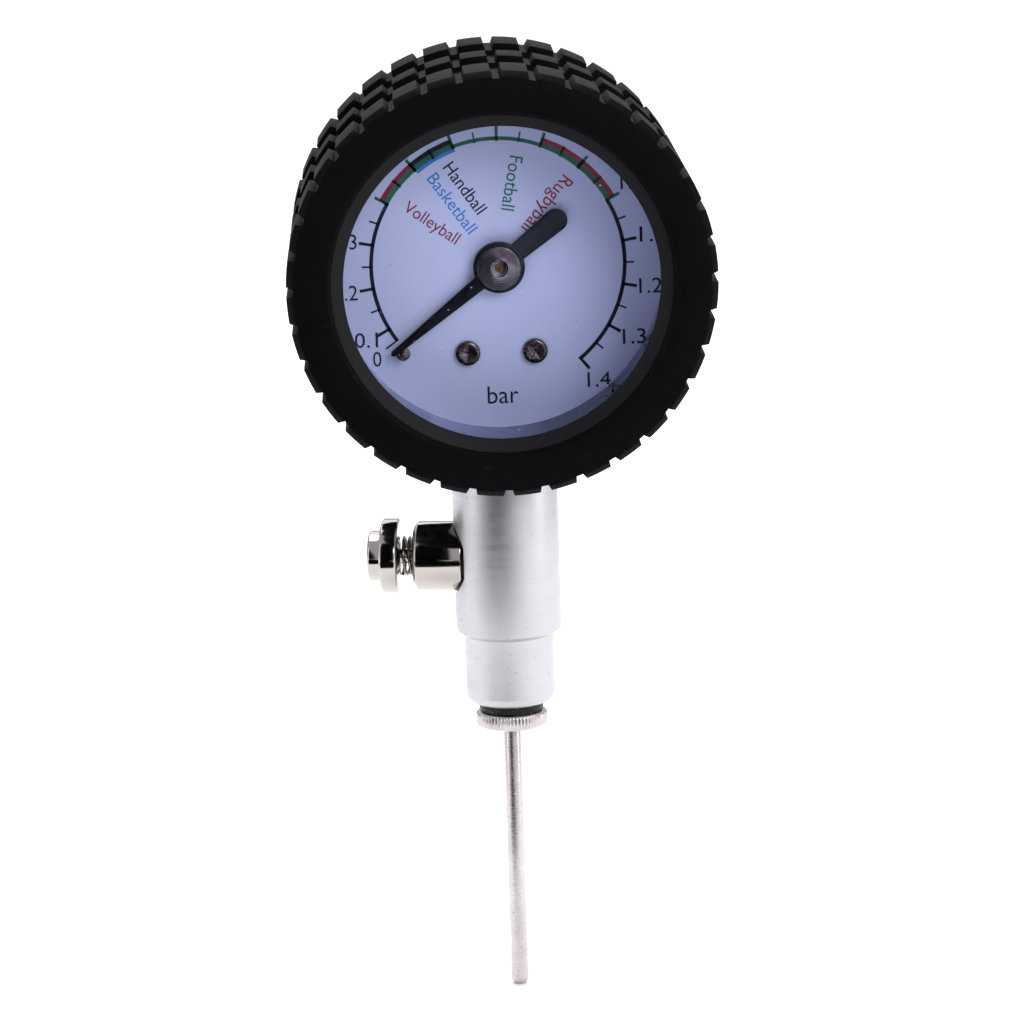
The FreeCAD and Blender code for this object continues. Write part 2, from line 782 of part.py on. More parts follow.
def sector_arbor():
    arbor = post(0, -gear_centres, sector_arbor_radius, front_plate_back + end_play, back_plate_front - end_play)
    return arbor.fuse(post(0, -gear_centres, pivot_radius, dial_back + end_play, back_plate_back))


def headed_pin(place, head_radius):
    """Pin through a flat piece and the link, with its head behind the link."""
    x, z = place
    head = link_back + end_play
    pin = post(x, z, link_pin_radius, sector_front, head)
    return pin.fuse(post(x, z, head_radius, head, head + link_pin_head_height))


def tail_pin():
    return headed_pin(tail_pin_place(), link_pin_head_radius)


def tip_pin():
    return headed_pin(tip_pin_place(), tip_pin_head_radius)


def link():
    """Flat link; its eye at the tube's tip is opened out to take the arc's small sideways error."""
    low = tail_pin_place()
    high = tip_pin_place()
    body = bar(low, high, link_width, link_front, link_back)
    body = body.fuse(post(low[0], low[1], link_eye_radius, link_front, link_back))
    body = body.fuse(post(high[0], high[1], link_tip_eye_radius, link_front, link_back))
    body = hole_through(body, low[0], low[1], link_pin_radius + running_clearance, link_front, link_back)
    return hole_through(body, high[0], high[1], link_pin_radius + open_pivot_clearance, link_front, link_back)


def pillar_places():
    return [(-top_pillar_spread, top_pillar_rise), (top_pillar_spread, top_pillar_rise),
            (-dial_screw_spread, -dial_screw_drop), (dial_screw_spread, -dial_screw_drop)]


def movement_pillars():
    """Four posts between the plates; the lower two are tapped for the dial screws."""
    pillars = []
    for x, z in pillar_places():
        pillar = post(x, z, pillar_radius, front_plate_back, back_plate_front)
        pillar = pillar.fuse(post(x, z, pillar_tenon_radius, back_plate_front, back_plate_back))
        if z > 0:
            pillar = pillar.fuse(post(x, z, pillar_tenon_radius, dial_back, front_plate_back))
        else:
            pillar = pillar.cut(post(x, z, dial_screw_radius, dial_front, dial_front + dial_screw_grip))
        pillars.append(pillar)
    return Part.makeCompound(pillars)


def movement_plate(front, back):
    """Flat plate with rounded corners and the two pivot holes."""
    plate = slab(-plate_half_width, plate_half_width, plate_bottom, plate_top, front, back)
    corners = [edge for edge in plate.Edges if abs(edge.Length - plate_thickness) < seat_gap]
    plate = plate.makeFillet(plate_corner, corners)
    return hole_through(plate, 0, -gear_centres, pivot_radius + running_clearance, front, back)


def movement_front_plate():
    plate = movement_plate(dial_back, front_plate_back)
    plate = hole_through(plate, 0, 0, arbor_front_radius + running_clearance, dial_back, front_plate_back)
    for x, z in pillar_places():
        radius = pillar_tenon_radius if z > 0 else dial_screw_radius
        plate = hole_through(plate, x, z, radius, dial_back, front_plate_back)
    return plate


def movement_back_plate():
    plate = movement_plate(back_plate_front, back_plate_back)
    plate = hole_through(plate, 0, 0, pivot_radius + running_clearance, back_plate_front, back_plate_back)
    for x, z in pillar_places():
        plate = hole_through(plate, x, z, pillar_tenon_radius, back_plate_front, back_plate_back)
    for side in (-1, 1):
        x = side * dial_screw_spread
        plate = hole_through(plate, x, movement_screw_z, movement_screw_radius, back_plate_front, back_plate_back)
    return plate


def movement_screws():
    """Two slotted screws that hold the back plate to the socket."""
    screws = []
    half = movement_screw_slot / 2.0
    back = back_plate_back + movement_screw_head_height
    for side in (-1, 1):
        x = side * dial_screw_spread
        body = screw(x, movement_screw_z, movement_screw_radius, back_plate_back, movement_screw_grip,
                     movement_screw_head_radius, movement_screw_head_height, -1)
        slot = slab(x - 2 * movement_screw_head_radius, x + 2 * movement_screw_head_radius,
                    movement_screw_z - half, movement_screw_z + half, back - movement_screw_slot, back + cut_over)
        screws.append(body.cut(slot))
    return Part.makeCompound(screws)


def hairspring_front():
    return front_plate_back + hairspring_behind_plate


def hairspring():
    """Flat spiral strip from the collet out to the stud."""
    front = hairspring_front()
    steps = hairspring_turns * hairspring_points_per_turn
    inner = []
    outer = []
    for step in range(steps + 1):
        turns = step / hairspring_points_per_turn
        angle = 360.0 * turns
        radius = hairspring_inner_radius + hairspring_pitch * turns
        inner.append(on_dial(angle, radius, front))
        outer.append(on_dial(angle, radius + hairspring_strip, front))
    near = Part.BSplineCurve()
    near.interpolate(inner)
    far = Part.BSplineCurve()
    far.interpolate(outer)
    edges = [near.toShape(), Part.makeLine(inner[-1], outer[-1]), far.toShape(), Part.makeLine(outer[0], inner[0])]
    return solid_of(Part.Wire(Part.__sortEdges__(edges)), Y * hairspring_height)


def hairspring_collet():
    front = hairspring_front() - (collet_height - hairspring_height) / 2.0
    return about_dial(ring(arbor_radius, hairspring_inner_radius, front, front + collet_height))


def hairspring_stud():
    reach = hairspring_inner_radius + hairspring_pitch * hairspring_turns + hairspring_strip + stud_radius
    back = hairspring_front() + hairspring_height
    return post(0, reach, stud_radius, front_plate_back, back)


# Bourdon tube and socket


def tube_section(inset):
    """Flattened section of the tube, with round ends, at its start."""
    half_depth = tube_section_depth / 2.0 - inset
    half_straight = tube_section_width / 2.0 - inset - half_depth
    middle = front_plate_back + plate_gap / 2.0
    low = middle - half_straight
    high = middle + half_straight
    inner = tube_radius - half_depth
    outer = tube_radius + half_depth

    def at(radius, depth):
        return on_dial(tube_start_angle, radius, depth)

    edges = [Part.makeLine(at(inner, low), at(inner, high)),
             Part.Arc(at(inner, high), at(tube_radius, high + half_depth), at(outer, high)).toShape(),
             Part.makeLine(at(outer, high), at(outer, low)),
             Part.Arc(at(outer, low), at(tube_radius, low - half_depth), at(inner, low)).toShape()]
    return Part.Face(Part.Wire(edges))


def tube_sweep():
    return 360.0 + tube_end_angle - tube_start_angle


def swept_tube(inset, degrees):
    return tube_section(inset).revolve(DIAL, Y, degrees)


def bourdon_tube():
    return swept_tube(0.0, tube_sweep()).cut(swept_tube(tube_wall, tube_sweep()))


def bourdon_tip():
    """Plug brazed into the tube's free end, with a tongue out to the link's pin."""
    plug_angle = math.degrees(tip_plug_length / tube_radius)
    plug = tube_section(tube_wall).copy()
    plug.rotate(DIAL, Y, tube_sweep() - plug_angle)
    plug = plug.revolve(DIAL, Y, plug_angle)
    cap = tube_section(0.0).copy()
    cap.rotate(DIAL, Y, tube_sweep())
    cap = cap.revolve(DIAL, Y, plug_angle)
    root = on_dial(tube_end_angle + plug_angle / 2.0, tube_radius) - DIAL
    x, z = tip_pin_place()
    tongue = bar((root.x, root.z), (x, z), tip_tongue_width, sector_front, sector_back)
    tongue = tongue.cut(bourdon_tube())
    tip = cap.fuse([plug, tongue]).removeSplitter()
    return hole_through(tip, x, z, link_pin_radius, sector_front, sector_back)


def socket():
    """Block that carries the movement and the tube, with a shank down into the stem."""
    start = on_dial(tube_start_angle, tube_radius) - DIAL
    left = min(-socket_left, start.x - socket_seat_past_tube)
    block = slab(left, socket_right, socket_floor, socket_top, front_plate_back, back_plate_front)
    seat_top = start.z + tube_section_depth / 2.0 + loose_gap
    seat = slab(left, start.x + socket_seat_before_tube, socket_top, seat_top, front_plate_back, back_plate_front)
    shoulder = Part.makeCylinder(socket_shoulder_radius, case_bore + socket_floor,
                                 DIAL - Z * case_bore, Z)
    depth = case_back - case_wall - case_back_chamfer - front_plate_back
    bore = Part.makeCylinder(case_bore, depth, DIAL + Y * front_plate_back, Y)
    shoulder = shoulder.common(bore)
    shank_end = stem_bore_bottom + socket_gasket_height
    shank_top = dial_z + socket_floor
    shank = Part.makeCylinder(socket_shank_radius, shank_top - shank_end, Z * shank_end, Z)
    body = block.fuse([seat, shoulder, shank]).removeSplitter()
    body = body.cut(slab(-stem_radius, stem_radius, -case_bore, socket_top, -stem_radius, front_plate_back))
    bore_top = movement_screw_z
    body = body.cut(Part.makeCylinder(socket_bore_radius, dial_z + bore_top - shank_end, Z * shank_end, Z))
    channel = FreeCAD.Vector(-start.x, 0, bore_top - start.z)
    middle = front_plate_back + plate_gap / 2.0
    mouth = on_dial(tube_start_angle, tube_radius, middle)
    body = body.cut(Part.makeCylinder(socket_channel_radius, channel.Length, mouth, channel))
    body = body.cut(swept_tube(0.0, tube_sweep()))
    for side in (-1, 1):
        x = side * dial_screw_spread
        body = body.cut(post(x, movement_screw_z, movement_screw_radius,
                             back_plate_back - movement_screw_grip, back_plate_back))
    return body


def socket_gasket():
    outer = socket_shank_radius
    return about_stem(ring(air_passage_radius, outer, stem_bore_bottom, stem_bore_bottom + socket_gasket_height))


NODES = (needle_tube, needle_head, needle_washer, valve_body, valve_housing, housing_gasket, bleed_button,
         bleed_spring, valve_seal, valve_nut, case_cup, bezel_ring, crystal_gasket, crystal, rubber_boot,
         dial_screws, dial_plate, stop_pin, pointer_blade, pointer_hub, pinion_arbor, sector_gear, sector_arbor,
         tail_pin, tip_pin, link, movement_pillars, movement_front_plate, movement_back_plate, movement_screws,
         hairspring, hairspring_collet, hairspring_stud, bourdon_tube, bourdon_tip, socket, socket_gasket)

os.makedirs("parts", exist_ok=True)
for node in NODES:
    shape = node()
    shape.exportStep("parts/" + node.__name__ + ".step")
    print(node.__name__, "valid" if shape.isValid() else "NOT VALID", len(shape.Solids),
          round(shape.Volume, 3))
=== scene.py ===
"""Ball pressure gauge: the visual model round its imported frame.

Sizes in the classes are millimetres and angles are degrees, and both are turned to metres and radians where
a mesh is made. Dial angles run clockwise from straight up, as the user reads the dial.
"""

import json
import logging
import math
from collections.abc import Iterable
from dataclasses import dataclass, field
from enum import Enum

import bmesh
import bpy
from mathutils import Matrix, Vector


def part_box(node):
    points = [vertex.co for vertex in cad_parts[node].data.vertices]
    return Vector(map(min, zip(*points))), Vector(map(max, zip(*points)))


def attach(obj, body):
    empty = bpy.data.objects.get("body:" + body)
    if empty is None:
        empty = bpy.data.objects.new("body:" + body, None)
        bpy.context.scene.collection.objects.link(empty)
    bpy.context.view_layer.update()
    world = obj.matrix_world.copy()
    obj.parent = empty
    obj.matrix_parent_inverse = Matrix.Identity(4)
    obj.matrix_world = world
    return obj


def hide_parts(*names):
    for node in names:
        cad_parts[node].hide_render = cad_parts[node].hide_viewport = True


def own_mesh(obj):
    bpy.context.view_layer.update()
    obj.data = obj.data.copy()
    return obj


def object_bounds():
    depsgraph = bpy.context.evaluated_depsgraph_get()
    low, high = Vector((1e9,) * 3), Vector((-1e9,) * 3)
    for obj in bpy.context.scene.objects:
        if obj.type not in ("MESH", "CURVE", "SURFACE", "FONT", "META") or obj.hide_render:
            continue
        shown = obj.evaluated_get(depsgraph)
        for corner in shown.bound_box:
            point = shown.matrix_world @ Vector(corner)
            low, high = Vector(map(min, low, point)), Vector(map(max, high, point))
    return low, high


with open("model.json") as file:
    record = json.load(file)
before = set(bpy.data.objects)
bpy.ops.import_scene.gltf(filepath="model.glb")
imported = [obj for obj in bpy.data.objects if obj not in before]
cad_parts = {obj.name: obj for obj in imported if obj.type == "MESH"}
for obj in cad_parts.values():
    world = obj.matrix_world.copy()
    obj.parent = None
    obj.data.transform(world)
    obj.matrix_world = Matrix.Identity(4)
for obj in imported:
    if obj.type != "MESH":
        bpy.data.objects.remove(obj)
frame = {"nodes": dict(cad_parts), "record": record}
CAD_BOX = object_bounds()

MM = 0.001
LOG = logging.getLogger("ball_gauge")


class Body(Enum):
    """The moving bodies that new pieces ride on."""

    GAUGE = "gauge"
    BUTTON = "bleed_button"
    POINTER = "pointer"
    WASHER = "washer"
    NEEDLE = "needle"


class Ink(Enum):
    """The inks the dial is printed with."""

    BLACK = "#0d0e1c"
    GREEN = "#14784f"
    RED = "#a5152b"
    BLUE = "#2f8fd6"


def linear(code: str) -> tuple[float, float, float, float]:
    """Turn an sRGB hex colour into linear light.

    Args:
        code: the colour, as "#rrggbb".

    Returns:
        Red, green, blue and an alpha of one, linear.
    """
    shares = [int(code[i:i + 2], 16) / 255 for i in (1, 3, 5)]
    red, green, blue = (c / 12.92 if c <= 0.04045 else ((c + 0.055) / 1.055) ** 2.4 for c in shares)
    return red, green, blue, 1.0


def add_node(tree: bpy.types.NodeTree, kind: str, inputs: dict | None = None, **settings: object) -> bpy.types.Node:
    """Add a shader node, set it and link it.

    Args:
        tree: the material's node tree.
        kind: the node's Blender type name.
        inputs: for each input, by name or number, the socket it is linked to or the value it is set to.
        **settings: the node's own properties.

    Returns:
        The new node.
    """
    node = tree.nodes.new(kind)
    for key, value in settings.items():
        setattr(node, key, value)
    for key, value in (inputs or {}).items():
        if isinstance(value, bpy.types.NodeSocket):
            tree.links.new(value, node.inputs[key])
        else:
            node.inputs[key].default_value = value
    return node


# Finishes


@dataclass(frozen=True)
class Finish:
    """A surface finish: a Principled shader with this finish's own pattern."""

    name: str
    colour: str
    roughness: float
    metallic: float = 0.0
    coat: float = 0.0
    shine: float = 0.5

    def build(self) -> bpy.types.Material:
        """Make the material.

        Returns:
            The new material.
        """
        material = bpy.data.materials.new(self.name)
        material.use_nodes = True
        tree = material.node_tree
        shader = tree.nodes["Principled BSDF"]
        shader.inputs["Base Color"].default_value = linear(self.colour)
        shader.inputs["Roughness"].default_value = self.roughness
        shader.inputs["Metallic"].default_value = self.metallic
        shader.inputs["Coat Weight"].default_value = self.coat
        shader.inputs["Specular IOR Level"].default_value = self.shine
        place = add_node(tree, "ShaderNodeTexCoord").outputs["Object"]
        self.pattern(tree, shader, place)
        return material

    def pattern(self, tree: bpy.types.NodeTree, shader: bpy.types.Node, place: bpy.types.NodeSocket) -> None:
        """Add this finish's colour, roughness and relief.

        Args:
            tree: the material's node tree.
            shader: its Principled shader.
            place: the object coordinates.
        """
        raise NotImplementedError


@dataclass(frozen=True)
class MouldedFinish(Finish):
    """A moulded surface: a cloudy colour, a fine grain from the mould and pale dust caught on it."""

    cloud: str = "#202028"
    dust: str = "#8d8b93"
    cloud_size: float = 4.0
    grain_size: float = 0.16
    grain_depth: float = 0.012
    grain_strength: float = 0.8
    dust_size: float = 0.34
    dust_above: float = 0.72
    dust_edge: float = 0.05
    dust_cover: float = 0.55
    roughness_spread: float = 0.08

    def pattern(self, tree: bpy.types.NodeTree, shader: bpy.types.Node, place: bpy.types.NodeSocket) -> None:
        """Mix the cloud and the dust into the colour, and raise the grain."""
        cloud = add_node(tree, "ShaderNodeTexNoise",
                         {"Vector": place, "Scale": 1 / (self.cloud_size * MM), "Detail": 3.0})
        body = add_node(tree, "ShaderNodeMix",
                        {0: cloud.outputs["Fac"], 6: linear(self.colour), 7: linear(self.cloud)}, data_type="RGBA")
        specks = add_node(tree, "ShaderNodeTexNoise",
                          {"Vector": place, "Scale": 1 / (self.dust_size * MM), "Detail": 2.0})
        caught = add_node(tree, "ShaderNodeMapRange",
                          {"Value": specks.outputs["Fac"], "From Min": self.dust_above,
                           "From Max": self.dust_above + self.dust_edge, "To Max": self.dust_cover})
        colour = add_node(tree, "ShaderNodeMix",
                          {0: caught.outputs[0], 6: body.outputs[2], 7: linear(self.dust)}, data_type="RGBA")
        tree.links.new(colour.outputs[2], shader.inputs["Base Color"])
        rough = add_node(tree, "ShaderNodeMapRange",
                         {"Value": cloud.outputs["Fac"], "To Min": self.roughness - self.roughness_spread,
                          "To Max": self.roughness + self.roughness_spread})
        tree.links.new(rough.outputs[0], shader.inputs["Roughness"])
        grain = add_node(tree, "ShaderNodeTexNoise",
                         {"Vector": place, "Scale": 1 / (self.grain_size * MM), "Detail": 2.0})
        relief = add_node(tree, "ShaderNodeBump",
                          {"Height": grain.outputs["Fac"], "Distance": self.grain_depth * MM,
                           "Strength": self.grain_strength})
        tree.links.new(relief.outputs[0], shader.inputs["Normal"])


@dataclass(frozen=True)
class MachinedFinish(Finish):
    """A metal worked by a tool: fine marks drawn out along or round the work, pits, and a tone that drifts."""

    drift: str = "#b0acaa"
    drift_size: float = 5.0
    mark_size: tuple[float, float, float] = (2.0, 2.0, 0.12)
    mark_depth: float = 0.004
    mark_span: tuple[float, float] = (0.3, 0.7)
    pit_size: float = 0.45
    pit_above: float = 0.70
    pit_edge: float = 0.06
    pit_depth: float = 0.02
    pit_colour: str = "#55504e"
    roughness_spread: float = 0.08

    def pattern(self, tree: bpy.types.NodeTree, shader: bpy.types.Node, place: bpy.types.NodeSocket) -> None:
        """Drift the tone, draw out the tool marks and sink the pits."""
        drift = add_node(tree, "ShaderNodeTexNoise",
                         {"Vector": place, "Scale": 1 / (self.drift_size * MM), "Detail": 4.0})
        body = add_node(tree, "ShaderNodeMix",
                        {0: drift.outputs["Fac"], 6: linear(self.colour), 7: linear(self.drift)}, data_type="RGBA")
        specks = add_node(tree, "ShaderNodeTexNoise",
                          {"Vector": place, "Scale": 1 / (self.pit_size * MM), "Detail": 1.0})
        pits = add_node(tree, "ShaderNodeMapRange",
                        {"Value": specks.outputs["Fac"], "From Min": self.pit_above,
                         "From Max": self.pit_above + self.pit_edge})
        colour = add_node(tree, "ShaderNodeMix",
                          {0: pits.outputs[0], 6: body.outputs[2], 7: linear(self.pit_colour)}, data_type="RGBA")
        tree.links.new(colour.outputs[2], shader.inputs["Base Color"])
        drawn = add_node(tree, "ShaderNodeMapping",
                         {"Vector": place, "Scale": tuple(1 / (size * MM) for size in self.mark_size)})
        marks = add_node(tree, "ShaderNodeTexNoise", {"Vector": drawn.outputs[0], "Scale": 1.0, "Detail": 3.0})
        rough = add_node(tree, "ShaderNodeMapRange",
                         {"Value": marks.outputs["Fac"], "From Min": self.mark_span[0], "From Max": self.mark_span[1],
                          "To Min": self.roughness - self.roughness_spread,
                          "To Max": self.roughness + self.roughness_spread})
        tree.links.new(rough.outputs[0], shader.inputs["Roughness"])
        height = add_node(tree, "ShaderNodeMath",
                          {0: pits.outputs[0], 1: -self.pit_depth / self.mark_depth, 2: marks.outputs["Fac"]},
                          operation="MULTIPLY_ADD")
        relief = add_node(tree, "ShaderNodeBump",
                          {"Height": height.outputs[0], "Distance": self.mark_depth * MM, "Strength": 1.0})
        tree.links.new(relief.outputs[0], shader.inputs["Normal"])


@dataclass(frozen=True)
class FacedFinish(Finish):
    """A metal face cut on a lathe: rings about the dial's centre, and a stain that drifts over them."""

    stain: str = "#6f5c58"
    stain_size: float = 1.6
    stain_span: tuple[float, float] = (0.42, 0.68)
    stain_cover: float = 0.7
    roughness_spread: float = 0.06
    ring_pitch: float = 0.22
    ring_depth: float = 0.006
    centre: tuple[float, float, float] = (0.0, 0.0, 0.0)

    def pattern(self, tree: bpy.types.NodeTree, shader: bpy.types.Node, place: bpy.types.NodeSocket) -> None:
        """Cut the rings and stain them."""
        centred = add_node(tree, "ShaderNodeMapping", {"Vector": place, "Location": tuple(-c for c in self.centre)})
        rings = add_node(tree, "ShaderNodeTexWave",
                         {"Vector": centred.outputs[0], "Scale": math.tau / (20 * self.ring_pitch * MM),
                          "Distortion": 0.6, "Detail": 1.0},
                         wave_type="RINGS", rings_direction="Y")
        stain = add_node(tree, "ShaderNodeTexNoise",
                         {"Vector": place, "Scale": 1 / (self.stain_size * MM), "Detail": 3.0})
        patch = add_node(tree, "ShaderNodeMapRange",
                         {"Value": stain.outputs["Fac"], "From Min": self.stain_span[0],
                          "From Max": self.stain_span[1], "To Max": self.stain_cover})
        colour = add_node(tree, "ShaderNodeMix",
                          {0: patch.outputs[0], 6: linear(self.colour), 7: linear(self.stain)}, data_type="RGBA")
        tree.links.new(colour.outputs[2], shader.inputs["Base Color"])
        rough = add_node(tree, "ShaderNodeMapRange",
                         {"Value": rings.outputs["Fac"], "To Min": self.roughness - self.roughness_spread,
                          "To Max": self.roughness + self.roughness_spread})
        tree.links.new(rough.outputs[0], shader.inputs["Roughness"])
        relief = add_node(tree, "ShaderNodeBump",
                          {"Height": rings.outputs["Fac"], "Distance": self.ring_depth * MM, "Strength": 1.0})
        tree.links.new(relief.outputs[0], shader.inputs["Normal"])


@dataclass(frozen=True)
class EnamelFinish(Finish):
    """Stoved enamel: painted side shading that shifts its colour towards the right of the plate, orange peel, and a
    few motes of dust.
    """

    # The colour painted on towards the right of the plate, as painted light or shade.
    right_side_shading: str = "#a9afc9"
    mote: str = "#4b4a58"
    width: float = 44.0
    peel_size: float = 0.9
    peel_depth: float = 0.004
    peel_strength: float = 0.6
    mote_size: float = 0.5
    mote_above: float = 0.91
    mote_edge: float = 0.02
    mote_cover: float = 0.7
    roughness_spread: float = 0.05

    def pattern(self, tree: bpy.types.NodeTree, shader: bpy.types.Node, place: bpy.types.NodeSocket) -> None:
        """Paint the side shading across the plate, drop the motes and raise the orange peel."""
        parts = add_node(tree, "ShaderNodeSeparateXYZ", {"Vector": place})
        # Painted light and shade: from a quarter of the width left of centre to the right edge, the colour blends
        # into the second colour, standing in for how light falls across the plate.
        across = add_node(tree, "ShaderNodeMapRange",
                          {"Value": parts.outputs["X"], "From Min": -self.width / 4 * MM,
                           "From Max": self.width / 2 * MM}, interpolation_type="SMOOTHSTEP")
        body = add_node(tree, "ShaderNodeMix",
                        {0: across.outputs[0], 6: linear(self.colour), 7: linear(self.right_side_shading)}, data_type="RGBA")
        specks = add_node(tree, "ShaderNodeTexNoise",
                          {"Vector": place, "Scale": 1 / (self.mote_size * MM), "Detail": 0.0})
        motes = add_node(tree, "ShaderNodeMapRange",
                         {"Value": specks.outputs["Fac"], "From Min": self.mote_above,
                          "From Max": self.mote_above + self.mote_edge, "To Max": self.mote_cover})
        colour = add_node(tree, "ShaderNodeMix",
                          {0: motes.outputs[0], 6: body.outputs[2], 7: linear(self.mote)}, data_type="RGBA")
        tree.links.new(colour.outputs[2], shader.inputs["Base Color"])
        peel = add_node(tree, "ShaderNodeTexNoise",
                        {"Vector": place, "Scale": 1 / (self.peel_size * MM), "Detail": 2.0})
        rough = add_node(tree, "ShaderNodeMapRange",
                         {"Value": peel.outputs["Fac"], "To Min": self.roughness - self.roughness_spread,
                          "To Max": self.roughness + self.roughness_spread})
        tree.links.new(rough.outputs[0], shader.inputs["Roughness"])
        relief = add_node(tree, "ShaderNodeBump",
                          {"Height": peel.outputs["Fac"], "Distance": self.peel_depth * MM,
                           "Strength": self.peel_strength})
        tree.links.new(relief.outputs[0], shader.inputs["Normal"])


@dataclass(frozen=True)
class ClearFinish(Finish):
    """Clear moulded sheet: what is behind it shows, its face mirrors a little, and dust lies on it."""

    tint: str = "#f4f6ff"
    ior: float = 1.2
    dust_size: float = 0.5
    dust_above: float = 0.88
    dust_edge: float = 0.03
    dust_cover: float = 0.5

    def pattern(self, tree: bpy.types.NodeTree, shader: bpy.types.Node, place: bpy.types.NodeSocket) -> None:
        """Mix a see-through shader with the face's own shine, by how squarely it is met."""
        specks = add_node(tree, "ShaderNodeTexNoise",
                          {"Vector": place, "Scale": 1 / (self.dust_size * MM), "Detail": 0.0})
        dust = add_node(tree, "ShaderNodeMapRange",
                        {"Value": specks.outputs["Fac"], "From Min": self.dust_above,
                         "From Max": self.dust_above + self.dust_edge, "To Max": self.dust_cover})
        clear = add_node(tree, "ShaderNodeBsdfTransparent", {"Color": linear(self.tint)})
        shine = add_node(tree, "ShaderNodeBsdfGlossy", {"Color": linear("#ffffff"), "Roughness": self.roughness})
        edge = add_node(tree, "ShaderNodeFresnel", {"IOR": self.ior})
        sheet = add_node(tree, "ShaderNodeMixShader",
                         {0: edge.outputs[0], 1: clear.outputs[0], 2: shine.outputs[0]})
        dusty = add_node(tree, "ShaderNodeMixShader",
                         {0: dust.outputs[0], 1: sheet.outputs[0], 2: shader.outputs[0]})
        tree.links.new(dusty.outputs[0], tree.nodes["Material Output"].inputs["Surface"])


@dataclass(frozen=True)
class PrintFinish(Finish):
    """Pad-printed ink: a dense film whose cover varies a little."""

    thin: str = "#3a3b52"
    cover_size: float = 0.35
    cover_span: tuple[float, float] = (0.45, 0.8)
    thin_share: float = 0.35
    film_relief: float = 0.003
    relief_strength: float = 0.5

    def pattern(self, tree: bpy.types.NodeTree, shader: bpy.types.Node, place: bpy.types.NodeSocket) -> None:
        """Vary how densely the ink covers."""
        cover = add_node(tree, "ShaderNodeTexNoise",
                         {"Vector": place, "Scale": 1 / (self.cover_size * MM), "Detail": 3.0})
        share = add_node(tree, "ShaderNodeMapRange",
                         {"Value": cover.outputs["Fac"], "From Min": self.cover_span[0],
                          "From Max": self.cover_span[1], "To Max": self.thin_share})
        colour = add_node(tree, "ShaderNodeMix",
                          {0: share.outputs[0], 6: linear(self.colour), 7: linear(self.thin)}, data_type="RGBA")
        tree.links.new(colour.outputs[2], shader.inputs["Base Color"])
        relief = add_node(tree, "ShaderNodeBump",
                          {"Height": cover.outputs["Fac"], "Distance": self.film_relief * MM,
                           "Strength": self.relief_strength})
        tree.links.new(relief.outputs[0], shader.inputs["Normal"])


